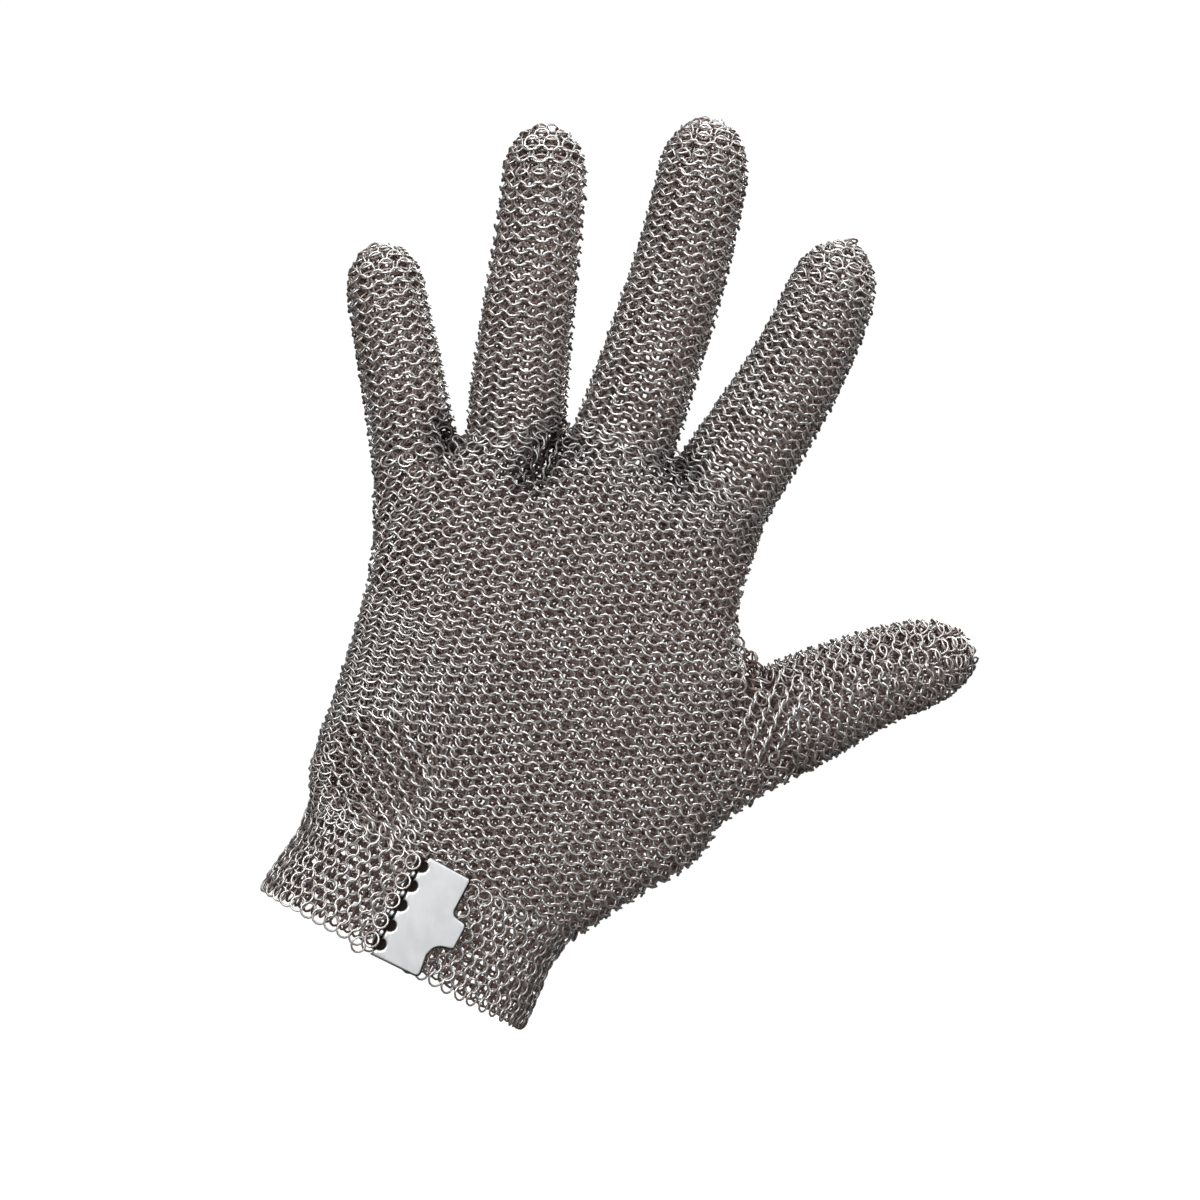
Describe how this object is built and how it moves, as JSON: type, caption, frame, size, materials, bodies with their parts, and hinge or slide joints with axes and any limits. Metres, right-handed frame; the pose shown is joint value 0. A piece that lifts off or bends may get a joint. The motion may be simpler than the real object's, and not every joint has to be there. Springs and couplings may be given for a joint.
{
  "type": "ring-mesh hand glove",
  "caption": "Hollow protective hand glove of linked steel rings, worn shape with spread digits, a short wrist band and a folded plate clasp.",
  "frame": {"origin": "centre of the wrist opening, at the lower edge of the cuff", "axes": "+Z towards the fingertips with the hand upright, -Y out of the back of the hand, +X towards the thumb"},
  "size_m": [0.1679, 0.0473, 0.2133],
  "materials": {
    "ring_mesh": "bright round steel wire, tumbled smooth, darker between the rings",
    "clasp": "satin steel sheet with rolled edges"
  },
  "bodies": {
    "root": {"hand_mesh": "ring_mesh", "little_finger": "ring_mesh", "ring_finger": "ring_mesh", "middle_finger": "ring_mesh", "index_finger": "ring_mesh", "thumb": "ring_mesh", "cuff_band": "ring_mesh", "clasp_plate": "clasp"}
  },
  "joints": []
}
